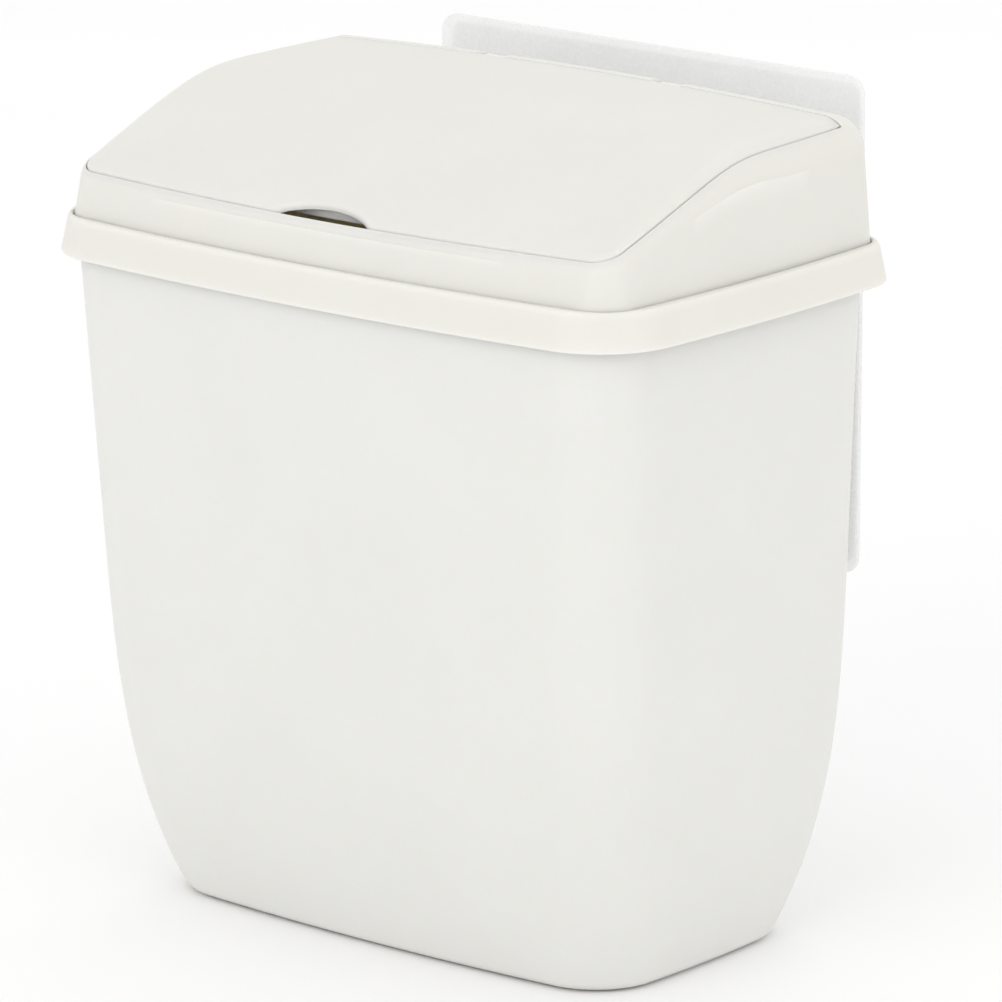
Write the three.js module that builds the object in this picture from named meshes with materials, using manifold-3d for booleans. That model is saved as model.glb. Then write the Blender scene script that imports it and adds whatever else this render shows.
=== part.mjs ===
// Wall-hung flip-lid bin, in millimetres, +Z up, front towards -Y.
// The sizes below are in the bin's own frame: z = 0 at its base, y = 0 near the middle of its depth.
// The exported group moves that frame so that the origin is the centre of the adhesive pad's back face.
import * as THREE from 'three';
import { mergeVertices } from 'three/addons/utils/BufferGeometryUtils.js';
import Module from 'manifold-3d';

const wasm = await Module();
wasm.setup();

// Outlines seen from above: half width, front and back depth, corner radii, front and side bulge.
const COLLAR = { half: 120, front: 71.4, back: 77.6, rFront: 22.8, rBack: 18.5, bulge: 6.7, sideBulge: 3.1 };
const DOME = { half: 113.3, front: 65.3, back: 73, rFront: 10.7, rBack: 11.2, bulge: 6.7, sideBulge: 3.1 };
const MOUTH = { half: 112.6, front: 67.5, back: 72.5, rFront: 17.8, rBack: 17.8, bulge: 6.7, sideBulge: 3.1 };
const FOOT = { half: 93.9, front: 41.3, back: 55, rFront: 20.5, rBack: 20.5, bulge: 4.7, sideBulge: 2.2 };
const ARC_POINTS = 7;
const SIDE_POINTS = 5;
const MIN_RADIUS = 1.5;

// Bin body
const WALL = 2.2;
const BIN_TOP = 216.8;
const BODY_Z = 216.5;
const NECK_BOTTOM = 218.6;
const NECK_TOP = 224.5;
const NECK_STEP = 1.6;
const FOOT_ROUND = 3.2;
const TUCK_Z = 131;
const TUCK_POWER = 3.43;
const DRAFT = { half: 0.031, front: 0.06, back: 0 };
const FLOOR = 2.4;

// Hanger pockets on the bin's back and the hooks that they drop over
const HOOK_X = 45;
const POCKET = { width: 34, back: 88, bottom: 126, top: 174 };
const SLOT = { width: 26, front: 75, back: 84.6, top: 170 };
const HOOK = { width: 23, front: 76.5, back: 82.5, bottom: 112, arm: 119, top: 169.7 };
const HOOK_BASE = { width: 30, front: 91.9, back: 94.4, top: 184 };

// Wall plate and adhesive pad
const PLATE = { width: 176.4, height: 165.2, radius: 6.5, front: 94.7, thick: 1.6, z: 191.5 };
const PAD = { width: 170.4, height: 159.2, radius: 4.5, front: 96.6, thick: 0.6 };
const WALL_Y = PAD.front + PAD.thick;

// Press ring that clamps the bag on the bin's neck
const RING = { bottom: 216.5, shoulder: 226.8, top: 229, seat: 227.2, web: 224.8, lipBottom: 213 };

// Lid cover
const COVER_BOTTOM = 227.5;
const COVER_LEAN = 2.3;
const CREST_FRONT = 3.9;
const CREST_BACK = 11.4;
const TOP_EDGE_Z = 242.6;
const TOP_SLOPE = THREE.MathUtils.degToRad(22.3);
const PLATEAU_Z = 272;
const BEND = 2.85;
const CROWN = 2.95;
const SEAM = 0.35;
const LEDGE = 6;
const LEDGE_DROP = 2.6;
const LEDGE_THICK = 2.1;
const FLANGE = 2.2;
const SPIGOT_BOTTOM = 219;
const STRIP_Y = 57.7;
const SCOOP_FRONT = -68;

// Flap
const FLAP_THICK = 2.2;
const FLAP_GAP = 0.45;
const FLAP_BACK = 56.9;
const BACK_LIP = { length: 1.6, thick: 0.8 };
const SEAL = { inset: 7.5, thick: 1.8, depth: 4, back: 50 };
const NOTCH_RADIUS = 36.3;
const NOTCH_Y = -62.3;

// Hinge
const HINGE = { x: 36.5, y: 63, z: 267.3, barrel: 3.1, tab: 11.2, slot: 12, slotBack: 66.65 };
const PIN_RADIUS = 1.25;
const PIN_LENGTH = 21;
const BORE_RADIUS = 1.3;
const BOSS = { width: 23, front: 58.2, back: 69.2, bottom: 262.6 };

const clamp = THREE.MathUtils.clamp;
const lerp = THREE.MathUtils.lerp;

const SHELL = new THREE.MeshStandardMaterial({ color: 0xebe9e2, roughness: 0.55, metalness: 0 });
const LID = new THREE.MeshStandardMaterial({ color: 0xe9e8e0, roughness: 0.55, metalness: 0 });
const CLEAR = new THREE.MeshStandardMaterial({ color: 0xe6e8e9, roughness: 0.2, metalness: 0 });
const GLUE = new THREE.MeshStandardMaterial({ color: 0xdfe1e2, roughness: 0.5, metalness: 0 });
const STEEL = new THREE.MeshStandardMaterial({ color: 0xb4b6b8, roughness: 0.35, metalness: 1 });

// Rounded rectangle with a bulging front and sides, moved in by `inset`, as a list of [x, y].
function outline(spec, inset = 0) {
  const half = spec.half - inset;
  const front = spec.front - inset;
  const back = spec.back - inset;
  const rf = Math.max(spec.rFront - inset, MIN_RADIUS);
  const rb = Math.max(spec.rBack - inset, MIN_RADIUS);
  const corners = [
    { x: half - rf, y: -front + rf, r: rf, start: -0.5 },
    { x: half - rb, y: back - rb, r: rb, start: 0 },
    { x: -half + rb, y: back - rb, r: rb, start: 0.5 },
    { x: -half + rf, y: -front + rf, r: rf, start: 1 },
  ];
  const points = [];
  corners.forEach((corner, index) => {
    for (let i = 0; i < ARC_POINTS; i += 1) {
      const angle = (corner.start + 0.5 * i / (ARC_POINTS - 1)) * Math.PI;
      points.push([corner.x + corner.r * Math.cos(angle), corner.y + corner.r * Math.sin(angle)]);
    }
    const next = corners[(index + 1) % 4];
    const angle = (corner.start + 0.5) * Math.PI;
    const from = points[points.length - 1];
    const to = [next.x + next.r * Math.cos(angle), next.y + next.r * Math.sin(angle)];
    for (let i = 1; i <= SIDE_POINTS; i += 1) {
      const t = i / (SIDE_POINTS + 1);
      points.push([lerp(from[0], to[0], t), lerp(from[1], to[1], t)]);
    }
  });
  const middle = (back - front) / 2;
  const depth = (back + front) / 2;
  return points.map(([x, y]) => {
    const forward = clamp((middle - y) / depth, 0, 1);
    const across = 1 - ((y - middle) / depth) ** 2;
    const bulge = spec.bulge * (1 - (x / half) ** 2) * forward;
    return [x + spec.sideBulge * across * x / half, y - bulge];
  });
}

// The same outline with its own inset at each point.
function outlineVarying(spec, insets) {
  return insets.map((inset, i) => outline(spec, inset)[i]);
}

function flat(points, z) {
  return points.map(([x, y]) => [x, y, z]);
}

// Skin over a list of rings with equal numbers of points. A closed loft joins the last ring to the first.
function loft(rings, closed = false) {
  const count = rings[0].length;
  const positions = rings.flat(2);
  const index = [];
  const spans = closed ? rings.length : rings.length - 1;
  for (let k = 0; k < spans; k += 1) {
    const a = k * count;
    const b = ((k + 1) % rings.length) * count;
    for (let i = 0; i < count; i += 1) {
      const j = (i + 1) % count;
      index.push(a + i, a + j, b + j);
      index.push(a + i, b + j, b + i);
    }
  }
  if (!closed) {
    addCap(positions, index, rings[0], 0, true);
    addCap(positions, index, rings[rings.length - 1], (rings.length - 1) * count, false);
  }
  const geometry = new THREE.BufferGeometry();
  geometry.setAttribute('position', new THREE.Float32BufferAttribute(positions, 3));
  geometry.setIndex(index);
  return geometry;
}

function addCap(positions, index, ring, first, down) {
  const centre = positions.length / 3;
  const sum = ring.reduce((total, p) => [total[0] + p[0], total[1] + p[1], total[2] + p[2]], [0, 0, 0]);
  positions.push(...sum.map((value) => value / ring.length));
  for (let i = 0; i < ring.length; i += 1) {
    const j = (i + 1) % ring.length;
    if (down) {
      index.push(first + j, first + i, centre);
    } else {
      index.push(first + i, first + j, centre);
    }
  }
}

// A closed geometry as a solid, turned so that its volume is positive.
function solid(geometry) {
  const plain = geometry.index ? geometry.clone() : geometry;
  plain.deleteAttribute('normal');
  plain.deleteAttribute('uv');
  const merged = mergeVertices(plain, 1e-4);
  const source = merged.index.array;
  const triangles = [];
  for (let i = 0; i < source.length; i += 3) {
    const [a, b, c] = [source[i], source[i + 1], source[i + 2]];
    if (a !== b && b !== c && c !== a) {
      triangles.push(a, b, c);
    }
  }
  const points = merged.attributes.position.array;
  if (signedVolume(points, triangles) < 0) {
    triangles.reverse();
  }
  const mesh = new wasm.Mesh({
    numProp: 3,
    vertProperties: Float32Array.from(points),
    triVerts: Uint32Array.from(triangles),
  });
  return new wasm.Manifold(mesh);
}

function signedVolume(points, triangles) {
  const [a, b, c] = [new THREE.Vector3(), new THREE.Vector3(), new THREE.Vector3()];
  let volume = 0;
  for (let i = 0; i < triangles.length; i += 3) {
    a.fromArray(points, triangles[i] * 3);
    b.fromArray(points, triangles[i + 1] * 3);
    c.fromArray(points, triangles[i + 2] * 3);
    volume += a.dot(b.cross(c)) / 6;
  }
  return volume;
}

function geometryOf(body) {
  const mesh = body.getMesh();
  const geometry = new THREE.BufferGeometry();
  geometry.setAttribute('position', new THREE.BufferAttribute(Float32Array.from(mesh.vertProperties), 3));
  geometry.setIndex(new THREE.BufferAttribute(Uint32Array.from(mesh.triVerts), 1));
  geometry.computeVertexNormals();
  return geometry;
}

// Box between two corners.
function block(low, high) {
  const box = new THREE.BoxGeometry(high[0] - low[0], high[1] - low[1], high[2] - low[2]);
  box.translate((low[0] + high[0]) / 2, (low[1] + high[1]) / 2, (low[2] + high[2]) / 2);
  return solid(box);
}

// Upright prism on a list of [x, y].
function prism(points, bottom, top) {
  const shape = new THREE.Shape(points.map(([x, y]) => new THREE.Vector2(x, y)));
  const body = new THREE.ExtrudeGeometry(shape, { depth: top - bottom, bevelEnabled: false });
  body.translate(0, 0, bottom);
  return solid(body);
}

// Round bar along X.
function bar(x, y, z, radius, length, sides = 24) {
  const cylinder = new THREE.CylinderGeometry(radius, radius, length, sides);
  cylinder.rotateZ(Math.PI / 2);
  cylinder.translate(x, y, z);
  return solid(cylinder);
}

// Rectangle with round corners in X and Z, as thick as `thick` along Y from `front`.
function sheet(spec, thick, edge) {
  const w = spec.width / 2 - edge;
  const h = spec.height / 2 - edge;
  const r = spec.radius - edge;
  const shape = new THREE.Shape();
  shape.moveTo(-w + r, -h);
  shape.lineTo(w - r, -h);
  shape.absarc(w - r, -h + r, r, -Math.PI / 2, 0, false);
  shape.lineTo(w, h - r);
  shape.absarc(w - r, h - r, r, 0, Math.PI / 2, false);
  shape.lineTo(-w + r, h);
  shape.absarc(-w + r, h - r, r, Math.PI / 2, Math.PI, false);
  shape.lineTo(-w, -h + r);
  shape.absarc(-w + r, -h + r, r, Math.PI, 1.5 * Math.PI, false);
  const options = { depth: thick - 2 * edge, bevelThickness: edge, bevelSize: edge, bevelSegments: 1 };
  const body = new THREE.ExtrudeGeometry(shape, { ...options, bevelEnabled: edge > 0, curveSegments: 8 });
  body.rotateX(Math.PI / 2);
  body.translate(0, spec.front + thick - edge, PLATE.z);
  return body;
}

// Outline of the bin's wall at height z, moved in by `inset`: drafted above, tucked in near the foot.
// `base` is the height at which the rounded bottom edge ends.
function binRing(z, inset, base) {
  const fall = BODY_Z - z;
  const tuck = Math.max(0, 1 - z / TUCK_Z) ** TUCK_POWER;
  const spec = {};
  ['half', 'front', 'back'].forEach((key) => {
    const lowest = MOUTH[key] - DRAFT[key] * BODY_Z;
    spec[key] = MOUTH[key] - DRAFT[key] * fall - (lowest - FOOT[key]) * tuck;
  });
  ['rFront', 'rBack', 'bulge', 'sideBulge'].forEach((key) => {
    spec[key] = lerp(MOUTH[key], FOOT[key], clamp(fall / BODY_Z, 0, 1));
  });
  const under = Math.max(0, base + FOOT_ROUND - z);
  const round = FOOT_ROUND - Math.sqrt(Math.max(0, FOOT_ROUND ** 2 - under ** 2));
  return flat(outline(spec, inset + round), z);
}

function makeBinBody() {
  const edge = [0, 0.15, 0.5, 1].map((part) => part * FOOT_ROUND);
  const levels = [10, 20, 32, 46, 62, 82, 104, TUCK_Z, 175, BIN_TOP];
  const rings = [...edge, ...levels].map((z) => binRing(z, 0, 0));
  rings.push(flat(outline(MOUTH, NECK_STEP), NECK_BOTTOM));
  rings.push(flat(outline(MOUTH, NECK_STEP), NECK_TOP - 0.5));
  rings.push(flat(outline(MOUTH, NECK_STEP + 0.5), NECK_TOP));
  rings.push(flat(outline(MOUTH, NECK_STEP + 2), NECK_TOP));
  rings.push(flat(outline(MOUTH, NECK_STEP + 2), NECK_BOTTOM - 0.5));
  const inner = [...edge.map((z) => z + FLOOR), ...levels].reverse();
  inner.forEach((z) => rings.push(binRing(z, WALL, FLOOR)));
  let body = solid(loft(rings));
  [-HOOK_X, HOOK_X].forEach((x) => {
    const half = POCKET.width / 2;
    const low = [x - half, MOUTH.back - 1, POCKET.bottom];
    body = body.add(block(low, [x + half, POCKET.back, POCKET.top]));
  });
  [-HOOK_X, HOOK_X].forEach((x) => {
    const half = SLOT.width / 2;
    const low = [x - half, SLOT.front, POCKET.bottom - 5];
    body = body.subtract(block(low, [x + half, SLOT.back, SLOT.top]));
  });
  return geometryOf(body);
}

function makeRimCollar() {
  const rings = [
    flat(outline(COLLAR, 0), RING.bottom),
    flat(outline(COLLAR, 0.1), RING.bottom + 1),
    flat(outline(COLLAR, 2), RING.shoulder),
    flat(outline(COLLAR, 2.4), RING.top - 0.8),
    flat(outline(COLLAR, 3.2), RING.top),
    flat(outline(DOME, -0.6), RING.top),
    flat(outline(DOME, -0.5), RING.seat),
    flat(outline(MOUTH, 6.2), RING.seat),
    flat(outline(MOUTH, 6.2), RING.lipBottom + 0.6),
    flat(outline(MOUTH, 5.4), RING.lipBottom),
    flat(outline(MOUTH, 4.3), RING.lipBottom + 0.8),
    flat(outline(MOUTH, 4.2), RING.web),
    flat(outline(COLLAR, 4), RING.web),
    flat(outline(COLLAR, 1.9), RING.bottom),
  ];
  return geometryOf(solid(loft(rings, true)));
}

// Height of the lid's top: a slope that bends into a level plateau, a little lower at the sides.
function topHeight(x, y) {
  const rise = TOP_EDGE_Z + Math.tan(TOP_SLOPE) * (y + DOME.front + DOME.bulge);
  const least = Math.min(rise, PLATEAU_Z);
  const blend = Math.exp((least - rise) / BEND) + Math.exp((least - PLATEAU_Z) / BEND);
  return least - BEND * Math.log(blend) - CROWN * (x / DOME.half) ** 2;
}

// Radius of the rounded top edge at each point of the outline, tight in front and soft behind.
function crestRadii() {
  return outline(DOME).map(([, y]) => {
    const along = clamp(1.6 * (y + DOME.front) / (DOME.front + DOME.back), 0, 1);
    return lerp(CREST_FRONT, CREST_BACK, along);
  });
}

// Solid of the lid's outer shape from `bottom` up, shrunk by `inset` and lowered by `drop(y)`.
function lidSolid(bottom, inset, drop) {
  const radii = crestRadii();
  const rings = [flat(outline(DOME, inset), bottom)];
  [0, 0.1, 0.22, SEAM, 0.52, 0.75, 1].forEach((turn) => {
    const edge = outlineVarying(DOME, radii.map((r) => COVER_LEAN + r * turn));
    const placed = outlineVarying(DOME, radii.map((r) => COVER_LEAN + r * turn + inset));
    rings.push(placed.map(([x, y], i) => {
      const fall = radii[i] * (1 - Math.sqrt(1 - (1 - turn) ** 2));
      return [x, y, topHeight(edge[i][0], edge[i][1]) - fall - drop(y)];
    }));
  });
  const rim = outlineVarying(DOME, radii.map((r) => COVER_LEAN + r + inset));
  [0.93, 0.84, 0.74, 0.64, 0.54, 0.44, 0.34, 0.24, 0.12].forEach((scale) => {
    rings.push(rim.map(([x, y]) => [x * scale, y * scale, topHeight(x * scale, y * scale) - drop(y * scale)]));
  });
  return solid(loft(rings));
}

// Outline of the flap's seam moved in by `inset`, cut straight at `back`.
function seamPrism(inset, bottom, top, back) {
  const points = outlineVarying(DOME, crestRadii().map((r) => COVER_LEAN + r * SEAM + inset));
  const cutter = block([-150, -100, bottom - 1], [150, back, top + 1]);
  return prism(points, bottom, top).intersect(cutter);
}

function fingerCut(radius, bottom, top) {
  const cylinder = new THREE.CylinderGeometry(radius, radius, top - bottom, 96);
  cylinder.rotateX(Math.PI / 2);
  cylinder.translate(0, NOTCH_Y - NOTCH_RADIUS, (top + bottom) / 2);
  return solid(cylinder);
}

function makeLidCover() {
  const shape = lidSolid(COVER_BOTTOM, 0, () => 0);
  const under = (y) => lerp(LEDGE_DROP + LEDGE_THICK, 2.4, clamp((y - 48) / 8, 0, 1));
  let cover = shape.subtract(lidSolid(COVER_BOTTOM + FLANGE, WALL, under));
  cover = cover.subtract(prism(outline(MOUTH, 8.4), SPIGOT_BOTTOM, COVER_BOTTOM + FLANGE + 0.1));
  const pocket = seamPrism(0, 230, 290, STRIP_Y).subtract(lidSolid(220, 0, () => LEDGE_DROP));
  cover = cover.subtract(pocket);
  cover = cover.subtract(seamPrism(LEDGE, COVER_BOTTOM + FLANGE, 290, STRIP_Y));
  const spigot = loft([
    flat(outline(MOUTH, 6.6), SPIGOT_BOTTOM),
    flat(outline(MOUTH, 6.6), COVER_BOTTOM + 1),
    flat(outline(MOUTH, 8.4), COVER_BOTTOM + 1),
    flat(outline(MOUTH, 8.4), SPIGOT_BOTTOM),
  ], true);
  cover = cover.add(solid(spigot));
  const scoop = fingerCut(NOTCH_RADIUS + 1.2, COVER_BOTTOM + FLANGE + 1, 280);
  const behindWall = block([-30, SCOOP_FRONT, 225], [30, -40, 285]);
  cover = cover.subtract(scoop.intersect(behindWall));
  [-HINGE.x, HINGE.x].forEach((x) => {
    const half = BOSS.width / 2;
    const boss = block([x - half, BOSS.front, BOSS.bottom], [x + half, BOSS.back, PLATEAU_Z]);
    cover = cover.add(boss.intersect(shape));
  });
  [-HINGE.x, HINGE.x].forEach((x) => {
    const half = HINGE.slot / 2;
    cover = cover.subtract(block([x - half, 45, 256], [x + half, HINGE.slotBack, 285]));
    cover = cover.subtract(bar(x, HINGE.y, HINGE.z, BORE_RADIUS, BOSS.width + 2));
  });
  return geometryOf(cover);
}

function makeFlap() {
  const skin = lidSolid(225, 0, () => 0).subtract(lidSolid(215, 0, () => FLAP_THICK));
  let flap = skin.intersect(seamPrism(FLAP_GAP, 230, 290, FLAP_BACK));
  const seal = seamPrism(SEAL.inset, 230, 290, SEAL.back)
    .subtract(seamPrism(SEAL.inset + SEAL.thick, 229, 291, SEAL.back - SEAL.thick));
  const sealBand = lidSolid(225, 0, () => FLAP_THICK / 2)
    .subtract(lidSolid(215, 0, () => FLAP_THICK + SEAL.depth));
  flap = flap.add(seal.intersect(sealBand));
  const rearStep = block([-130, FLAP_BACK - BACK_LIP.length, 230], [130, FLAP_BACK + 2, 290]);
  flap = flap.subtract(rearStep.intersect(lidSolid(215, 0, () => BACK_LIP.thick)));
  flap = flap.subtract(fingerCut(NOTCH_RADIUS, 226, 280));
  [-HINGE.x, HINGE.x].forEach((x) => {
    const half = HINGE.tab / 2;
    const top = HINGE.z + HINGE.barrel;
    flap = flap.add(block([x - half, SEAL.back - 4, top - 3.4], [x + half, HINGE.y, top]));
    flap = flap.add(bar(x, HINGE.y, HINGE.z, HINGE.barrel, HINGE.tab));
    flap = flap.subtract(bar(x, HINGE.y, HINGE.z, BORE_RADIUS, HINGE.tab + 2));
  });
  return geometryOf(flap);
}

function makeHook(x) {
  const shape = new THREE.Shape();
  shape.moveTo(HOOK.front, HOOK.bottom + 3);
  shape.lineTo(HOOK.front + 3, HOOK.bottom);
  shape.lineTo(HOOK_BASE.back, HOOK.bottom);
  shape.lineTo(HOOK_BASE.back, HOOK.arm + 4);
  shape.lineTo(HOOK_BASE.front - 1, HOOK.arm);
  shape.lineTo(HOOK.back + 1, HOOK.arm);
  shape.lineTo(HOOK.back, HOOK.arm + 1);
  shape.lineTo(HOOK.back, HOOK.top - 4);
  shape.lineTo(HOOK.back - 1.5, HOOK.top);
  shape.lineTo(HOOK.front + 1.5, HOOK.top);
  shape.lineTo(HOOK.front, HOOK.top - 4);
  const arm = new THREE.ExtrudeGeometry(shape, { depth: HOOK.width, bevelEnabled: false });
  arm.rotateX(Math.PI / 2);
  arm.rotateZ(Math.PI / 2);
  arm.translate(x - HOOK.width / 2, 0, 0);
  const base = {
    width: HOOK_BASE.width,
    height: HOOK_BASE.top - HOOK.bottom,
    radius: 5,
    front: HOOK_BASE.front,
  };
  const plate = sheet(base, HOOK_BASE.back - HOOK_BASE.front, 0.5);
  plate.translate(x, 0, (HOOK_BASE.top + HOOK.bottom) / 2 - PLATE.z);
  return geometryOf(solid(arm).add(solid(plate)));
}

function makeHingePin(x) {
  return geometryOf(bar(x, HINGE.y, HINGE.z, PIN_RADIUS, PIN_LENGTH));
}

const bin = new THREE.Group();
bin.position.set(0, -WALL_Y, -PLATE.z);

function place(name, geometry, material) {
  const mesh = new THREE.Mesh(geometry, material.clone());
  mesh.name = name;
  bin.add(mesh);
}

place('wall_plate', geometryOf(solid(sheet(PLATE, PLATE.thick, 0.4))), CLEAR);
place('adhesive_pad', geometryOf(solid(sheet(PAD, PAD.thick, 0))), GLUE);
place('hook_left', makeHook(-HOOK_X), SHELL);
place('hook_right', makeHook(HOOK_X), SHELL);
place('bin_body', makeBinBody(), SHELL);
place('rim_collar', makeRimCollar(), LID);
place('lid_cover', makeLidCover(), LID);
place('flap', makeFlap(), LID);
place('hinge_pin_left', makeHingePin(-HINGE.x), STEEL);
place('hinge_pin_right', makeHingePin(HINGE.x), STEEL);

const group = new THREE.Group();
group.add(bin);

export default group;
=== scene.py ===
"""Wall-hung flip-lid bin: fine surfaces, plastic and clear-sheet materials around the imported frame."""

import math

import bmesh
import bpy
import numpy as np
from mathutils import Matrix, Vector


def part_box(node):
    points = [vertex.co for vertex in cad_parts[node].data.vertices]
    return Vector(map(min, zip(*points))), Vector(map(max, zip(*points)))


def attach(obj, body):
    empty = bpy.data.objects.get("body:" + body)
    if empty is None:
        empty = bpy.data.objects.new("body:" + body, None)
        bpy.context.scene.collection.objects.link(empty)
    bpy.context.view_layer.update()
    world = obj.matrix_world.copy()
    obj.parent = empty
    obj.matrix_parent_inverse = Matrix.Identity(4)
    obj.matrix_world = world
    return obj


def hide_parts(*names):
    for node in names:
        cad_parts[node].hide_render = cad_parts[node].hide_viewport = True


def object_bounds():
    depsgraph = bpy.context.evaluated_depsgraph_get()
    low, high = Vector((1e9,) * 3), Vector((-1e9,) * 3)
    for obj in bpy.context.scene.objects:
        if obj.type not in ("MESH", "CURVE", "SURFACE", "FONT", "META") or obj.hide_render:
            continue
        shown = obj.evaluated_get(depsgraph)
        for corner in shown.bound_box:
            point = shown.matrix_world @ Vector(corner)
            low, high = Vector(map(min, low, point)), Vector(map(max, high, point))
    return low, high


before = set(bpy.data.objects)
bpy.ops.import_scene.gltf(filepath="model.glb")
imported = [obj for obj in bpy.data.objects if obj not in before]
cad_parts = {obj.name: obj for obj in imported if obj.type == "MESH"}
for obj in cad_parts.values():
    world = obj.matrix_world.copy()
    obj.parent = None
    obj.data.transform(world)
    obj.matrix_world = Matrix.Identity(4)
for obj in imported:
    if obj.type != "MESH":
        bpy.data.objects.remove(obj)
CAD_LOW, CAD_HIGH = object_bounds()

MM = 0.001

# The bin's own frame: base at z = 0, middle of its depth at y = 0, in millimetres.
ORIGIN_Y = -97.2
ORIGIN_Z = -191.5

COLLAR = dict(half=120, front=71.4, back=77.6, r_front=22.8, r_back=18.5, bulge=6.7, side=3.1)
DOME = dict(half=113.3, front=65.3, back=73, r_front=10.7, r_back=11.2, bulge=6.7, side=3.1)
MOUTH = dict(half=112.6, front=67.5, back=72.5, r_front=17.8, r_back=17.8, bulge=6.7, side=3.1)
FOOT = dict(half=93.9, front=41.3, back=55, r_front=20.5, r_back=20.5, bulge=4.7, side=2.2)
ARC, WIDE, DEEP = 20, 150, 60

WALL = 2.2
BODY_Z = 216.5
TUCK_Z, TUCK_POWER = 131, 3.43
DRAFT = dict(half=0.031, front=0.06, back=0.0)
FOOT_ROUND = 3.2
FLOOR = 2.4

COVER_BOTTOM = 227.5
LEAN = 2.3
CREST_FRONT, CREST_BACK = 3.9, 11.4
TOP_EDGE_Z = 242.6
TOP_SLOPE = math.radians(22.3)
PLATEAU_Z = 272
BEND = 2.85
CROWN = 2.95
SEAM = 0.35
STRIP_Y = 57.7
FLAP_BACK = 56.9
NOTCH_RADIUS, NOTCH_Y = 36.3, -62.3
HINGE_X, HINGE_Y, HINGE_Z, BARREL = 36.5, 63, 267.3, 3.1

# The cover's ledge under the flap, and the scoop in it behind the finger notch.
LEDGE_INSET, LEDGE_DROP = 6, 2.6
SCOOP_Y = -68.05
SCOOP_EDGE, SCOOP_FLAT = 20.5, 17.5

# The slots in the cover that the flap's knuckles turn in, and the cheeks beside them.
SLOT_HALF, SLOT_FRONT, SLOT_BACK, SLOT_LOW, SLOT_HIGH = 6, 45, 66.65, 256, 285
CHEEK_INNER, CHEEK_OUTER = 6.05, 11.5
KNUCKLE_HALF = 5.6

# The flap panel: its gap at the seam, its thickness and its thinner back lip.
FLAP_GAP = 0.45
FLAP_THICK, FLAP_LIP_THIN = 2.2, 1.4
FLAP_LIP_START, FLAP_LIP_END = 54.6, 55.4

# Pockets on the tub's back that drop over the wall hooks.
POCKET_X = 45
SHARP_DEGREES = 38
EASED_EDGE, EASED_ANGLE = 0.35, math.radians(35)
PLATE_RADIUS, PLATE_EDGE = 6.5, 0.4
PAD_RADIUS, PAD_EDGE = 4.5, 0.08

# The camera's direction and distance, and the point it looks at, in metres.
VIEW_AZIMUTH, VIEW_ELEVATION, VIEW_DISTANCE = math.radians(39.695), math.radians(14.669), 2.4021
VIEW_TARGET = (-0.01205, -0.06309, -0.06183)
LENS, SENSOR = 263.85, 36
FLOOR_SIZE, FLOOR_GAP = 30, 0.0005


# ---------------------------------------------------------------- outlines

def outline(spec, inset=0.0):
    """Rounded rectangle with bulging front and sides, moved in by inset, as an N x 2 array."""
    inset = np.asarray(inset, float)
    half, front, back = spec["half"] - inset, spec["front"] - inset, spec["back"] - inset
    rf = np.maximum(spec["r_front"] - inset, 1.5)
    rb = np.maximum(spec["r_back"] - inset, 1.5)
    count = 4 * ARC + 2 * WIDE + 2 * DEEP
    half, front, back, rf, rb = (np.broadcast_to(v, count) for v in (half, front, back, rf, rb))
    corner_x = [half - rf, half - rb, -half + rb, -half + rf]
    corner_y = [-front + rf, back - rb, back - rb, -front + rf]
    radius = [rf, rb, rb, rf]
    points = np.zeros((count, 2))
    at = 0
    for c in range(4):
        start, between = (c - 1) * math.pi / 2, (DEEP, WIDE)[c % 2]
        for i in range(ARC):
            angle = start + math.pi / 2 * i / (ARC - 1)
            points[at] = (
                corner_x[c][at] + radius[c][at] * math.cos(angle),
                corner_y[c][at] + radius[c][at] * math.sin(angle),
            )
            at += 1
        angle, n = start + math.pi / 2, (c + 1) % 4
        for i in range(between):
            t = (i + 1) / (between + 1)
            here = np.array([
                corner_x[c][at] + radius[c][at] * math.cos(angle),
                corner_y[c][at] + radius[c][at] * math.sin(angle),
            ])
            there = np.array([
                corner_x[n][at] + radius[n][at] * math.cos(angle),
                corner_y[n][at] + radius[n][at] * math.sin(angle),
            ])
            points[at] = here + (there - here) * t
            at += 1
    x, y = points.T
    middle, depth = (back - front) / 2, (back + front) / 2
    forward = np.clip((middle - y) / depth, 0, 1)
    across = 1 - ((y - middle) / depth) ** 2
    return np.column_stack([
        x + spec["side"] * across * x / half,
        y - spec["bulge"] * (1 - (x / half) ** 2) * forward,
    ])


def level(points, z):
    """Points in the row frame, in metres, at height z."""
    z = np.broadcast_to(np.asarray(z, float), len(points))
    return np.column_stack([points[:, 0], points[:, 1] + ORIGIN_Y, z + ORIGIN_Z]) * MM


def soft_min(a, b, k):
    return -k * np.logaddexp(-a / k, -b / k)


def soft_max(a, b, k):
    return k * np.logaddexp(a / k, b / k)


def smooth_step(low, high, value):
    t = np.clip((value - low) / (high - low), 0, 1)
    return t * t * (3 - 2 * t)


def crest_radius(y):
    along = np.clip(1.6 * (y + DOME["front"]) / (DOME["front"] + DOME["back"]), 0, 1)
    return CREST_FRONT + (CREST_BACK - CREST_FRONT) * along


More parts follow.
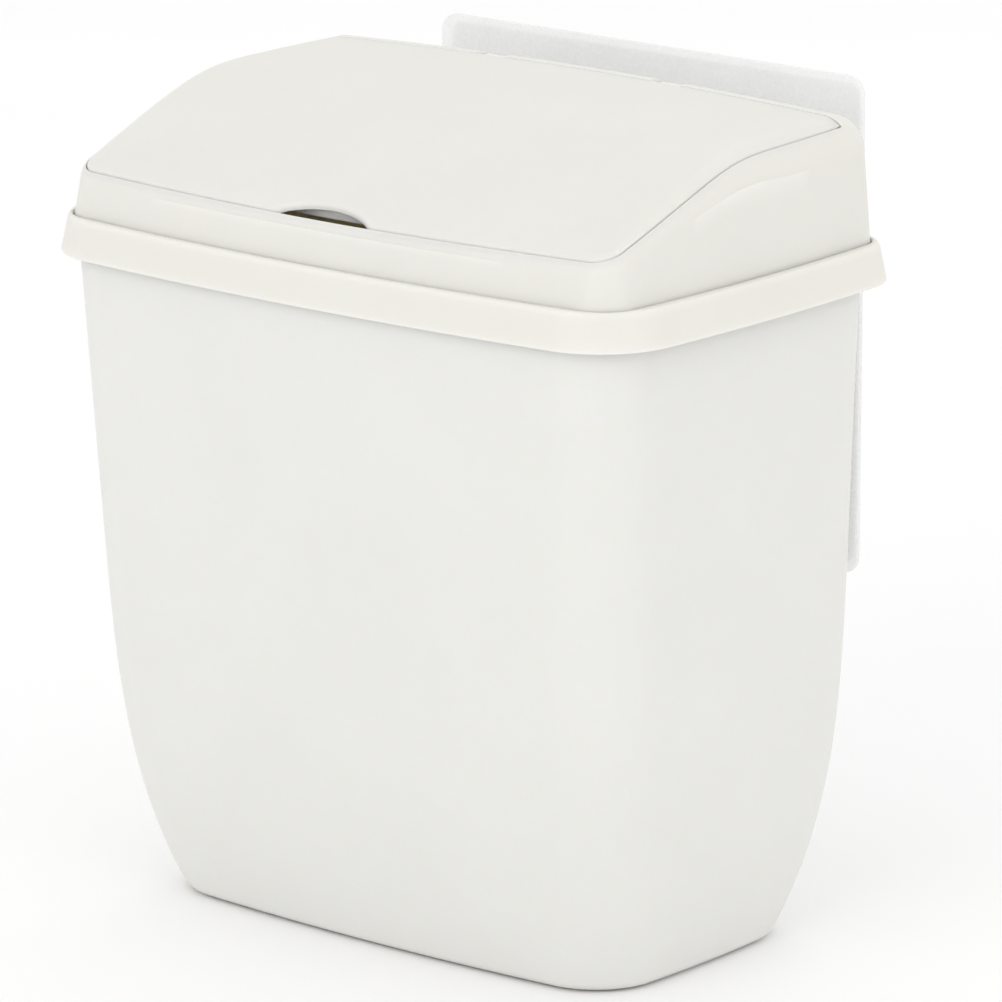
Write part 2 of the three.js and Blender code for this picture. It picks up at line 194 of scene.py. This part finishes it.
def lid_height(x, y):
    """Height of the lid's outer surface over a point inside its outline."""
    half, front, back = DOME["half"], DOME["front"], DOME["back"]
    middle, depth = (back - front) / 2, (back + front) / 2
    x0, y0 = x.copy(), y.copy()
    for _ in range(5):
        forward = np.clip((middle - y0) / depth, 0, 1)
        across = 1 - ((y0 - middle) / depth) ** 2
        y0 = y + DOME["bulge"] * (1 - (x0 / half) ** 2) * forward
        x0 = x / (1 + DOME["side"] * across / half)
    corner = np.where(y0 < middle, DOME["r_front"], DOME["r_back"])
    qx = np.abs(x0) - (half - corner)
    qy = np.abs(y0 - middle) - (depth - corner)
    outside = np.hypot(np.maximum(qx, 0), np.maximum(qy, 0))
    inset = corner - (outside + np.minimum(soft_max(qx, qy, 0.8), 0))
    radius = crest_radius(y)
    turn = np.clip((inset - LEAN) / radius, 0, 1)
    fall = radius * (1 - np.sqrt(1 - (1 - turn) ** 2))
    rise = TOP_EDGE_Z + math.tan(TOP_SLOPE) * (y + front + DOME["bulge"])
    return soft_min(rise, np.full_like(rise, PLATEAU_Z), BEND) - CROWN * (x / half) ** 2 - fall


def seam_outline(inset, back):
    """The flap's seam moved in by inset, with a straight back edge."""
    base = outline(DOME)
    points = outline(DOME, LEAN + crest_radius(base[:, 1]) * SEAM + inset)
    points[:, 1] = soft_min(points[:, 1], np.full(len(points), float(back)), 0.5)
    return points


def inward(points):
    """Unit normals of a closed outline, pointing in."""
    tangent = np.roll(points, -1, 0) - np.roll(points, 1, 0)
    normal = np.column_stack([-tangent[:, 1], tangent[:, 0]])
    return normal / np.maximum(np.hypot(normal[:, 0], normal[:, 1]), 1e-9)[:, None]


# ---------------------------------------------------------------- meshes

def finish_mesh(name, verts, faces, body, material, replaced=(), sharp=SHARP_DEGREES):
    mesh = bpy.data.meshes.new(name)
    mesh.from_pydata([tuple(v) for v in verts], [], faces)
    mesh.validate()
    work = bmesh.new()
    work.from_mesh(mesh)
    bmesh.ops.remove_doubles(work, verts=work.verts, dist=2e-6)
    bmesh.ops.dissolve_degenerate(work, edges=work.edges, dist=1e-6)
    bmesh.ops.recalc_face_normals(work, faces=work.faces)
    work.to_mesh(mesh)
    work.free()
    mesh.shade_smooth()
    mesh.set_sharp_from_angle(angle=math.radians(sharp))
    obj = bpy.data.objects.new(name, mesh)
    bpy.context.scene.collection.objects.link(obj)
    mesh.materials.append(material)
    if body:
        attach(obj, body)
    if replaced:
        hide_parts(*replaced)
    return obj


def loft(rings, closed):
    """Vertices and faces of a skin over rings with equal numbers of points."""
    count = len(rings[0])
    verts = np.vstack(rings)
    faces = []
    spans = len(rings) if closed else len(rings) - 1
    for k in range(spans):
        a, b = k * count, ((k + 1) % len(rings)) * count
        for i in range(count):
            j = (i + 1) % count
            faces.append((a + i, a + j, b + j, b + i))
    if not closed:
        for first, ring in ((0, rings[0]), (len(rings) - 1, rings[-1])):
            centre = len(verts)
            verts = np.vstack([verts, ring.mean(0)])
            faces += [(first * count + i, first * count + (i + 1) % count, centre) for i in range(count)]
    return verts, faces


def extrude_x(profile, x_low, x_high, edge):
    """A closed (y, z) profile drawn out along X, with its end edges chamfered by edge."""
    profile = np.asarray(profile, float)
    shrunk = profile + inward(profile) * edge * orientation(profile)
    rings = []
    for x, points in ((x_low, shrunk), (x_low + edge, profile), (x_high - edge, profile), (x_high, shrunk)):
        x_column = np.full(len(points), float(x))
        rings.append(np.column_stack([x_column, points[:, 0] + ORIGIN_Y, points[:, 1] + ORIGIN_Z]) * MM)
    return loft(rings, False)


def orientation(points):
    x, y = points.T
    area = np.sum(x * np.roll(y, -1) - np.roll(x, -1) * y)
    return 1 if area > 0 else -1


def arc(cx, cy, radius, start, end, steps):
    angles = np.radians(np.linspace(start, end, steps))
    return [(cx + radius * math.cos(a), cy + radius * math.sin(a)) for a in angles]


def cut(obj, cutter):
    """Takes the cutter's volume out of obj and applies it."""
    modifier = obj.modifiers.new("cut", "BOOLEAN")
    modifier.operation = "DIFFERENCE"
    modifier.solver = "EXACT"
    modifier.use_self = True
    modifier.object = cutter
    depsgraph = bpy.context.evaluated_depsgraph_get()
    mesh = bpy.data.meshes.new_from_object(obj.evaluated_get(depsgraph))
    obj.modifiers.clear()
    obj.data = mesh
    bpy.data.objects.remove(cutter)
    mesh.shade_smooth()
    mesh.set_sharp_from_angle(angle=math.radians(SHARP_DEGREES))


# ---------------------------------------------------------------- materials

class Nodes:
    """Short way to add linked shader nodes."""

    def __init__(self, name):
        self.material = bpy.data.materials.new(name)
        self.material.use_nodes = True
        self.tree = self.material.node_tree
        self.shader = self.tree.nodes["Principled BSDF"]

    def add(self, kind, inputs=None, **settings):
        node = self.tree.nodes.new(kind)
        for key, value in settings.items():
            setattr(node, key, value)
        for key, value in (inputs or {}).items():
            if isinstance(value, bpy.types.NodeSocket):
                self.tree.links.new(value, node.inputs[key])
            else:
                node.inputs[key].default_value = value
        return node

    def noise(self, coordinates, scale, detail, roughness=0.5):
        inputs = {"Vector": coordinates, "Scale": scale, "Detail": detail, "Roughness": roughness}
        return self.add("ShaderNodeTexNoise", inputs).outputs["Fac"]

    def ramp(self, factor, stops):
        node = self.add("ShaderNodeValToRGB", {"Fac": factor})
        elements = node.color_ramp.elements
        for element, (position, colour) in zip(elements, (stops[0], stops[-1])):
            element.position = position
            element.color = colour
        for position, colour in stops[1:-1]:
            elements.new(position).color = colour
        return node.outputs["Color"]

    def remap(self, value, low, high, to_low, to_high):
        inputs = {"Value": value, "From Min": low, "From Max": high, "To Min": to_low, "To Max": to_high}
        return self.add("ShaderNodeMapRange", inputs).outputs["Result"]

    def mix(self, factor, a, b, blend="MIX"):
        node = self.add("ShaderNodeMix", data_type="RGBA", blend_type=blend)
        for socket, value in ((node.inputs[0], factor), (node.inputs[6], a), (node.inputs[7], b)):
            if isinstance(value, bpy.types.NodeSocket):
                self.tree.links.new(value, socket)
            else:
                socket.default_value = value
        return node.outputs[2]

    def bump(self, height, strength, distance, normal=None):
        inputs = {"Height": height, "Strength": strength, "Distance": distance}
        if normal is not None:
            inputs["Normal"] = normal
        return self.add("ShaderNodeBump", inputs).outputs["Normal"]

    def link(self, value, socket):
        self.tree.links.new(value, self.shader.inputs[socket])


def shade(colour, factor):
    return tuple(c * factor for c in colour) + (1,)


def moulded_plastic(name, colour, roughness, grain):
    """Off-white moulded plastic: faint clouding, a fine matte grain, painted highlight on convex edges,
    painted shade in creases.
    """
    nodes = Nodes(name)
    where = nodes.add("ShaderNodeTexCoord").outputs["Object"]
    clouds = nodes.noise(where, 26, 3)
    flow = nodes.noise(where, 160, 4, 0.6)
    fine = nodes.noise(where, 1500, 2, 0.6)
    finer = nodes.noise(where, 4200, 2, 0.7)
    pointed = nodes.add("ShaderNodeNewGeometry").outputs["Pointiness"]
    edge = nodes.remap(pointed, 0.505, 0.56, 0, 1)
    # Mask of concave creases and recesses, used below for painted shade.
    crease_shade = nodes.remap(pointed, 0.495, 0.44, 0, 1)
    base = nodes.ramp(clouds, [(0.3, shade(colour, 0.985)), (0.7, shade(colour, 1.012))])
    base = nodes.mix(nodes.remap(flow, 0.35, 0.65, 0, 0.35), base, shade(colour, 0.99))
    base = nodes.mix(nodes.remap(fine, 0.3, 0.7, 0, 0.25), base, shade(colour, 0.972))
    # Painted highlight: convex edges are lightened toward a paler colour.
    base = nodes.mix(nodes.remap(edge, 0, 1, 0, 0.4), base, shade((1, 0.995, 0.98), 0.9))
    # Painted shade: creases and recesses are darkened toward a warm grey-brown.
    base = nodes.mix(nodes.remap(crease_shade, 0, 1, 0, 0.35), base, shade((0.74, 0.7, 0.6), 1))
    nodes.link(base, "Base Color")
    uneven = nodes.remap(clouds, 0.3, 0.7, roughness - 0.04, roughness + 0.04)
    worn = nodes.add("ShaderNodeMath", {0: uneven, 1: nodes.remap(edge, 0, 1, 0, 0.1)}, operation="SUBTRACT")
    nodes.link(worn.outputs[0], "Roughness")
    skin = nodes.bump(flow, 0.12, 0.0004)
    skin = nodes.bump(fine, grain, 0.00012, skin)
    nodes.link(nodes.bump(finer, grain, 0.00005, skin), "Normal")
    shader = nodes.shader.inputs
    shader["IOR"].default_value = 1.49
    shader["Specular IOR Level"].default_value = 0.4
    shader["Subsurface Weight"].default_value = 0.3
    shader["Subsurface Radius"].default_value = (1.0, 0.85, 0.6)
    shader["Subsurface Scale"].default_value = 0.006
    return nodes.material


def clear_sheet(name, colour, alpha, roughness):
    """Clear, slightly milky sheet with faint moulding haze."""
    nodes = Nodes(name)
    where = nodes.add("ShaderNodeTexCoord").outputs["Object"]
    haze = nodes.noise(where, 35, 3)
    fine = nodes.noise(where, 900, 2)
    nodes.link(nodes.ramp(haze, [(0.3, shade(colour, 0.975)), (0.7, shade(colour, 1.02))]), "Base Color")
    nodes.link(nodes.remap(haze, 0.3, 0.7, roughness - 0.05, roughness + 0.06), "Roughness")
    nodes.link(nodes.remap(fine, 0.2, 0.8, alpha - 0.03, alpha + 0.03), "Alpha")
    nodes.link(nodes.bump(fine, 0.08, 0.0001), "Normal")
    shader = nodes.shader.inputs
    shader["IOR"].default_value = 1.46
    shader["Specular IOR Level"].default_value = 0.45
    return nodes.material


def drawn_wire(name):
    """Steel wire with fine scratches along its length."""
    nodes = Nodes(name)
    where = nodes.add("ShaderNodeTexCoord").outputs["Object"]
    stretched = nodes.add("ShaderNodeMapping", {"Vector": where, "Scale": (0.05, 1, 1)}).outputs["Vector"]
    lines = nodes.noise(stretched, 6000, 3)
    stain = nodes.noise(where, 300, 3)
    colour = nodes.ramp(lines, [(0.3, (0.42, 0.43, 0.44, 1)), (0.7, (0.62, 0.63, 0.64, 1))])
    nodes.link(nodes.mix(nodes.remap(stain, 0.5, 0.8, 0, 0.3), colour, (0.35, 0.33, 0.3, 1)), "Base Color")
    nodes.link(nodes.remap(lines, 0.3, 0.7, 0.25, 0.45), "Roughness")
    nodes.link(nodes.bump(lines, 0.2, 0.00003), "Normal")
    nodes.shader.inputs["Metallic"].default_value = 1.0
    return nodes.material


BODY_PLASTIC = moulded_plastic("body_plastic", (0.765, 0.757, 0.722), 0.52, 0.16)
# Lid plastic: its own slightly warmer tone, plus painted shade that makes it a touch darker than the body
# for the weaker light on top.
LID_PLASTIC_AND_SHADE = moulded_plastic("lid_plastic", (0.752, 0.738, 0.688), 0.5, 0.16)
SHEET = clear_sheet("clear_sheet", (0.86, 0.865, 0.865), 0.34, 0.2)
ADHESIVE = clear_sheet("adhesive", (0.87, 0.87, 0.865), 0.3, 0.45)
WIRE = drawn_wire("pin_steel")


# ---------------------------------------------------------------- bin body

def bin_ring(z, inset, base):
    """Ring of the bin's wall at height z; base is the height where its bottom edge ends."""
    fall = BODY_Z - z
    tuck = max(0, 1 - z / TUCK_Z) ** TUCK_POWER
    spec = {}
    for key in ("half", "front", "back"):
        lowest = MOUTH[key] - DRAFT[key] * BODY_Z
        spec[key] = MOUTH[key] - DRAFT[key] * fall - (lowest - FOOT[key]) * tuck
    for key in ("r_front", "r_back", "bulge", "side"):
        spec[key] = MOUTH[key] + (FOOT[key] - MOUTH[key]) * min(max(fall / BODY_Z, 0), 1)
    under = max(0, base + FOOT_ROUND - z)
    rounding = FOOT_ROUND - math.sqrt(max(0, FOOT_ROUND ** 2 - under ** 2))
    return level(outline(spec, inset + rounding), z)


def make_bin():
    edge = [FOOT_ROUND * (1 - math.cos(a)) for a in np.linspace(0, math.pi / 2, 9)]
    low = list(np.linspace(FOOT_ROUND, TUCK_Z, 42))[1:]
    high = list(np.linspace(TUCK_Z, 216.2, 9))[1:]
    foot = outline(FOOT, FOOT_ROUND)
    rings = [level(foot * s, z) for s, z in ((0.4, 0.9), (0.8, 0.9), (0.885, 0.8), (0.9, 0.2), (0.92, 0))]
    rings += [bin_ring(z, 0, 0) for z in edge + low + high]
    neck = [
        (0.1, 216.6), (0.5, 217), (1.2, 218), (1.6, 218.6), (1.6, 223.4), (1.75, 224), (2.1, 224.4),
        (2.6, 224.5), (3.1, 224.4), (3.45, 224), (3.6, 223.4), (3.6, 218.4), (3, 217.6), (2.4, 216.9),
    ]
    rings += [level(outline(MOUTH, inset), z) for inset, z in neck]
    rings += [bin_ring(z, WALL, FLOOR) for z in reversed([z + FLOOR for z in edge] + low[1:] + high)]
    verts, faces = loft(rings, False)
    finish_mesh("bin_shell", verts, faces, "bin", BODY_PLASTIC, ["bin_body"])


def make_pocket(side, x):
    """Hanger pocket on the bin's back: a hood open below, with rounded corners."""
    outer = rounded_box_rings(x, 17, 71.9, 88, 126, 174, 2.5)
    verts, faces = loft(outer, False)
    pocket = finish_mesh(f"hanger_pocket_{side}", verts, faces, "bin", BODY_PLASTIC)
    inner = rounded_box_rings(x, 13, 75, 84.6, 120, 170, 1)
    verts, faces = loft(inner, False)
    cut(pocket, finish_mesh("cutter", verts, faces, None, BODY_PLASTIC))


def rounded_box_rings(x, half, front, back, bottom, top, radius):
    """Rings of an upright box with rounded upright and top edges."""
    rings = []
    for z, inset in [(bottom, 0.3), (bottom + 0.3, 0), (top - radius, 0)] + [
        (top - radius + radius * math.sin(a), radius * (1 - math.cos(a)))
        for a in np.linspace(0.2, math.pi / 2, 7)
    ]:
        r = max(radius - inset, 0.15)
        w, f, b = half - inset, front + inset * 0.2, back - inset
        points = (
            arc(x + w - r, f + r, r, -90, 0, 7) + arc(x + w - r, b - r, r, 0, 90, 7)
            + arc(x - w + r, b - r, r, 90, 180, 7) + arc(x - w + r, f + r, r, 180, 270, 7)
        )
        rings.append(level(np.array(points), z))
    return rings


# ---------------------------------------------------------------- press ring

def make_collar():
    section = [
        (COLLAR, 0.9, 216.5), (COLLAR, 0.4, 216.52), (COLLAR, 0.12, 216.7), (COLLAR, 0.03, 217.1),
        (COLLAR, 0.15, 217.8), (COLLAR, 0.85, 221), (COLLAR, 1.5, 224), (COLLAR, 1.95, 226.2),
        (COLLAR, 2.12, 227.1), (COLLAR, 2.34, 227.9), (COLLAR, 2.65, 228.5), (COLLAR, 3.1, 228.88),
        (COLLAR, 3.6, 229), (DOME, -1.0, 229), (DOME, -0.72, 228.9), (DOME, -0.6, 228.6),
        (DOME, -0.5, 227.3), (DOME, -0.3, 227.2), (MOUTH, 6.2, 227.2), (MOUTH, 6.2, 213.7),
        (MOUTH, 6.0, 213.2), (MOUTH, 5.4, 213), (MOUTH, 4.6, 213.3), (MOUTH, 4.2, 214),
        (MOUTH, 4.2, 224.8), (COLLAR, 4.1, 224.8), (COLLAR, 3.9, 224.2), (COLLAR, 1.95, 217),
        (COLLAR, 1.7, 216.55), (COLLAR, 1.3, 216.5),
    ]
    verts, faces = loft([level(outline(spec, inset), z) for spec, inset, z in section], True)
    finish_mesh("press_ring", verts, faces, "top", LID_PLASTIC_AND_SHADE, ["rim_collar"])


# ---------------------------------------------------------------- lid cover

def over(points, drop=0.0):
    """Points on the lid's outer surface, lowered by drop."""
    return level(points, lid_height(points[:, 0], points[:, 1]) - drop)


def make_cover():
    base = outline(DOME)
    crest = outline(DOME, LEAN)
    crest_z = lid_height(crest[:, 0], crest[:, 1])
    seam = seam_outline(0, STRIP_Y)
    ledge = seam_outline(LEDGE_INSET, STRIP_Y - 0.25)
    behind = smooth_step(48, 56, seam[:, 1])
    finger = smooth_step(SCOOP_EDGE, SCOOP_FLAT, np.abs(ledge[:, 0])) * (ledge[:, 1] < 0)
    ledge[:, 1] += (SCOOP_Y - ledge[:, 1]) * finger
    rings = [level(outline(DOME, 0.35), COVER_BOTTOM), level(outline(DOME, 0.08), COVER_BOTTOM + 0.1)]
    for t in np.linspace(0, 1, 9):
        height = COVER_BOTTOM + 0.4 + (crest_z - COVER_BOTTOM - 0.4) * t
        rings.append(level(base + (crest - base) * t, height))
    away = seam - crest
    length = np.hypot(*away.T)[:, None]
    away = away / length
    for t in np.linspace(0, 1, 17)[1:]:
        rings.append(over(crest + away * (length - 0.45) * (1 - math.cos(t * math.pi / 2))))
    rings.append(over(seam - away * 0.2, 0.05))
    rings.append(over(seam - away * 0.04, 0.2))
    rings.append(over(seam, 0.5))
    rings.append(over(seam, 2.55 - 0.2 * behind))
    rings.append(over(seam + inward(seam) * 0.05, LEDGE_DROP - 0.2 * behind))
    rings.append(over(ledge - inward(ledge) * 0.1, LEDGE_DROP))
    rings.append(over(ledge, 2.8))
    rings.append(over(ledge, 4.5 - 2.1 * behind))
    under = outline(DOME, LEAN + WALL)
    rings.append(level(under, crest_z - 1.5))
    rings.append(level(outline(DOME, WALL), COVER_BOTTOM + 2.5))
    section = [
        (8.7, 229.7), (8.45, 229.5), (8.4, 229), (8.4, 219.4),
        (8.1, 219), (6.9, 219), (6.6, 219.4), (6.6, 227.5),
    ]
    rings.append(level(outline(DOME, WALL + 0.3), COVER_BOTTOM + 2.2))
    rings += [level(outline(MOUTH, inset), z) for inset, z in section]
    verts, faces = loft(rings, True)
    cover = finish_mesh("lid_cover_shell", verts, faces, "top", LID_PLASTIC_AND_SHADE, ["lid_cover"])
    for x in (-HINGE_X, HINGE_X):
        profile = [
            (SLOT_FRONT, SLOT_LOW), (SLOT_BACK, SLOT_LOW), (SLOT_BACK, SLOT_HIGH), (SLOT_FRONT, SLOT_HIGH),
        ]
        verts, faces = extrude_x(profile, x - SLOT_HALF, x + SLOT_HALF, 0.01)
        cut(cover, finish_mesh("cutter", verts, faces, None, LID_PLASTIC_AND_SHADE))


def make_bosses():
    """Two cheeks either side of each hinge slot, solid where the pin passes through."""
    for side, x in (("left", -HINGE_X), ("right", HINGE_X)):
        cheeks = (
            ("outer", x - CHEEK_OUTER, x - CHEEK_INNER),
            ("inner", x + CHEEK_INNER, x + CHEEK_OUTER),
        )
        for name, low, high in cheeks:
            profile = (
                [(58.4, 269.6), (58.4, 266.5)] + arc(62.2, 266.4, 3.8, 180, 270, 9)
                + arc(66.4, 264.4, 1.8, 270, 330, 5)
                + [(69.6, 262.6), (69.2, 265.2), (67.6, 268), (65.4, 269.3)]
            )
            verts, faces = extrude_x(profile, low, high, 0.25)
            finish_mesh(f"hinge_cheek_{side}_{name}", verts, faces, "top", LID_PLASTIC_AND_SHADE)


# ---------------------------------------------------------------- flap

def flap_outline():
    points = seam_outline(FLAP_GAP, FLAP_BACK)
    x, y = points.T
    inside = np.abs(x) < NOTCH_RADIUS - 1
    bow = NOTCH_Y - NOTCH_RADIUS + np.sqrt(np.maximum(NOTCH_RADIUS ** 2 - x ** 2, 0))
    notched = soft_max(y, bow, 0.35)
    points[:, 1] = np.where(inside & (y < 0), notched, y)
    return points


def make_flap():
    rim = flap_outline()
    normal = inward(rim)
    for _ in range(6):
        normal = (normal + np.roll(normal, 1, 0) + np.roll(normal, -1, 0)) / 3
    normal /= np.hypot(*normal.T)[:, None]
    in_notch = smooth_step(21, 17, np.abs(rim[:, 0])) * (rim[:, 1] < 0)
    edge = (0.45 + 0.75 * in_notch)[:, None]
    centre = np.array([0.0, -5.0])

    def thick(points):
        return FLAP_THICK - FLAP_LIP_THIN * smooth_step(FLAP_LIP_START, FLAP_LIP_END, points[:, 1])

    shrunk = rim + normal * 0.35
    rings = []
    spread = np.linspace(0.985, 0, 34) ** 1.4
    for t in spread:
        points = shrunk + (centre - shrunk) * t
        rings.append(over(points, thick(points)))
    rings.append(over(rim, thick(rim) - 0.35))
    for angle in np.linspace(0, math.pi / 2, 8):
        points = rim + normal * edge * (1 - math.cos(angle))
        rings.append(over(points, edge[:, 0] * (1 - math.sin(angle))))
    inner = rim + normal * edge
    for t in (np.linspace(0, 0.985, 56) ** 1.5)[1:]:
        rings.append(over(inner + (centre - inner) * t))
    verts, faces = loft(rings, False)
    finish_mesh("flap_panel", verts, faces, "flap", LID_PLASTIC_AND_SHADE, ["flap"])


def make_flap_seal():
    outer, inner = seam_outline(7.95, 50), seam_outline(9.3, 48.6)
    middle = (outer + inner) / 2
    rings = [
        over(middle, 1.2), over(outer, 1.3), over(outer, 4.2), over(outer * 0.7 + middle * 0.3, 5.9),
        over(middle, 6.15), over(inner * 0.7 + middle * 0.3, 5.9), over(inner, 4.2), over(inner, 1.3),
    ]
    verts, faces = loft(rings, True)
    finish_mesh("flap_seal_lip", verts, faces, "flap", LID_PLASTIC_AND_SHADE)


def make_knuckles():
    top = HINGE_Z + BARREL
    for side, x in (("left", -HINGE_X), ("right", HINGE_X)):
        profile = (
            [(47, top - 0.2), (47, top - 2.6), (48, top - 3.4), (59.6, top - 3.4)]
            + arc(HINGE_Y, HINGE_Z, BARREL, 184, 450, 34)
        )
        verts, faces = extrude_x(profile, x - KNUCKLE_HALF, x + KNUCKLE_HALF, 0.3)
        finish_mesh(f"flap_knuckle_{side}", verts, faces, "flap", LID_PLASTIC_AND_SHADE)


# ---------------------------------------------------------------- wall plate, pad, hooks, pins

def make_sheet(name, node, radius, edge, material):
    """Flat sheet with round corners in the box of a CAD node, its edges eased."""
    low, high = (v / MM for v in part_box(node))
    w, h = (high.x - low.x) / 2, (high.z - low.z) / 2
    cx, cz = (high.x + low.x) / 2, (high.z + low.z) / 2
    rings = []
    for y, inset in (
        (low.y, edge * 2.2), (low.y, edge), (low.y + edge * 0.3, edge * 0.3), (low.y + edge, 0),
        (high.y - edge, 0), (high.y - edge * 0.3, edge * 0.3), (high.y, edge), (high.y, edge * 2.2),
    ):
        a, b, r = w - inset, h - inset, radius - inset
        points = np.array(
            arc(a - r, -b + r, r, -90, 0, 12) + arc(a - r, b - r, r, 0, 90, 12)
            + arc(-a + r, b - r, r, 90, 180, 12) + arc(-a + r, -b + r, r, 180, 270, 12)
        )
        rings.append(np.column_stack([points[:, 0] + cx, np.full(len(points), y), points[:, 1] + cz]) * MM)
    verts, faces = loft(rings, False)
    finish_mesh(name, verts, faces, "wall", material, [node], 60)


def dress_cad_nodes():
    """Hooks and pins keep their CAD shape, with eased edges and their own finish."""
    for name, material in (
        ("hook_left", BODY_PLASTIC), ("hook_right", BODY_PLASTIC),
        ("hinge_pin_left", WIRE), ("hinge_pin_right", WIRE),
    ):
        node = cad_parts[name]
        node.data.materials.clear()
        node.data.materials.append(material)
        bevel = node.modifiers.new("eased_edges", "BEVEL")
        bevel.width = EASED_EDGE * MM
        bevel.segments = 2
        bevel.limit_method = "ANGLE"
        bevel.angle_limit = EASED_ANGLE


make_bin()
make_pocket("left", -POCKET_X)
make_pocket("right", POCKET_X)
make_collar()
make_cover()
make_bosses()
make_flap()
make_flap_seal()
make_knuckles()
make_sheet("clear_wall_plate", "wall_plate", PLATE_RADIUS, PLATE_EDGE, SHEET)
make_sheet("adhesive_film", "adhesive_pad", PAD_RADIUS, PAD_EDGE, ADHESIVE)
dress_cad_nodes()


# ---------------------------------------------------------------- studio

def make_stage():
    floor_z = CAD_LOW.z - FLOOR_GAP
    mesh = bpy.data.meshes.new("floor")
    size = FLOOR_SIZE
    corners = [
        (-size, -size, floor_z), (size, -size, floor_z), (size, size, floor_z), (-size, size, floor_z),
    ]
    mesh.from_pydata(corners, [], [(0, 1, 2, 3)])
    floor = bpy.data.objects.new("floor", mesh)
    bpy.context.scene.collection.objects.link(floor)
    nodes = Nodes("floor")
    where = nodes.add("ShaderNodeTexCoord").outputs["Object"]
    paper = nodes.noise(where, 3, 2)
    nodes.link(nodes.ramp(paper, [(0.3, (0.93, 0.93, 0.93, 1)), (0.7, (0.95, 0.95, 0.95, 1))]), "Base Color")
    nodes.shader.inputs["Roughness"].default_value = 0.9
    mesh.materials.append(nodes.material)


def add_light(name, azimuth, elevation, distance, size, power, colour):
    """Area light aimed at the middle of the object, from a direction round it."""
    centre = (CAD_LOW + CAD_HIGH) / 2
    a, e = math.radians(azimuth), math.radians(elevation)
    back = Vector((math.sin(a) * math.cos(e), -math.cos(a) * math.cos(e), math.sin(e)))
    data = bpy.data.lights.new(name, "AREA")
    data.shape = "DISK"
    data.size = size
    data.energy = power
    data.color = colour
    light = bpy.data.objects.new(name, data)
    light.location = centre + back * distance
    light.rotation_mode = "QUATERNION"
    light.rotation_quaternion = back.to_track_quat("Z", "Y")
    bpy.context.scene.collection.objects.link(light)


def make_camera():
    """Camera at the viewing angle: azimuth and elevation round the object, and a long lens."""
    flat = math.cos(VIEW_ELEVATION)
    back = Vector((
        math.sin(VIEW_AZIMUTH) * flat, -math.cos(VIEW_AZIMUTH) * flat, math.sin(VIEW_ELEVATION),
    ))
    target = Vector(VIEW_TARGET)
    data = bpy.data.cameras.new("camera")
    data.sensor_width = SENSOR
    data.lens = LENS
    camera = bpy.data.objects.new("camera", data)
    camera.location = target + back * VIEW_DISTANCE
    camera.rotation_mode = "QUATERNION"
    camera.rotation_quaternion = back.to_track_quat("Z", "Y")
    bpy.context.scene.collection.objects.link(camera)
    bpy.context.scene.camera = camera


def make_world():
    world = bpy.data.worlds.new("studio")
    world.use_nodes = True
    background = world.node_tree.nodes["Background"]
    background.inputs["Color"].default_value = (1, 1, 1, 1)
    background.inputs["Strength"].default_value = 1.0
    bpy.context.scene.world = world
    bpy.context.scene.view_settings.view_transform = "Standard"


make_stage()
make_camera()
make_world()
add_light("key", 5, 28, 2.2, 1.6, 6, (1, 0.995, 0.985))
add_light("fill", 75, 20, 2.4, 1.6, 4.5, (1, 0.985, 0.96))
add_light("rim", 200, 50, 2.4, 1.4, 2, (1, 1, 1))
